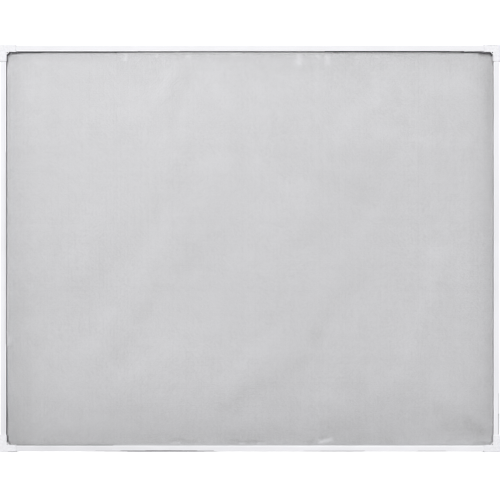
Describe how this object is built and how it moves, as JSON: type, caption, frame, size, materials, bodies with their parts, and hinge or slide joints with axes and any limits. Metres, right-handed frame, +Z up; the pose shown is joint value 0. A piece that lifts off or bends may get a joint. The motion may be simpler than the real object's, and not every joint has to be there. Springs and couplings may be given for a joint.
{
  "type": "window screen frame",
  "caption": "Rectangular insect screen for a window: slim white rails joined by sleeve corners, with grey mesh held by a spline cord in a groove at the back.",
  "frame": {"origin": "middle of the bottom edge, at half the depth", "axes": "+X along the width to the right as seen from the front, +Y towards the window behind it, +Z up"},
  "size_m": [1.2038, 0.0104, 0.9788],
  "materials": {
    "white_coat": "satin white powder coat on aluminium",
    "white_moulding": "white moulded plastic, lightly mottled",
    "grey_mesh": "woven grey glass-fibre mesh, vinyl coated",
    "grey_spline": "ribbed soft cord, matt grey"
  },
  "bodies": {
    "root": {"rail_top": "white_coat", "rail_bottom": "white_coat", "rail_left": "white_coat", "rail_right": "white_coat", "corner_top_left": "white_moulding", "corner_top_right": "white_moulding", "corner_bottom_left": "white_moulding", "corner_bottom_right": "white_moulding", "screen_cloth": "grey_mesh", "spline_top": "grey_spline", "spline_bottom": "grey_spline", "spline_left": "grey_spline", "spline_right": "grey_spline"}
  },
  "joints": []
}
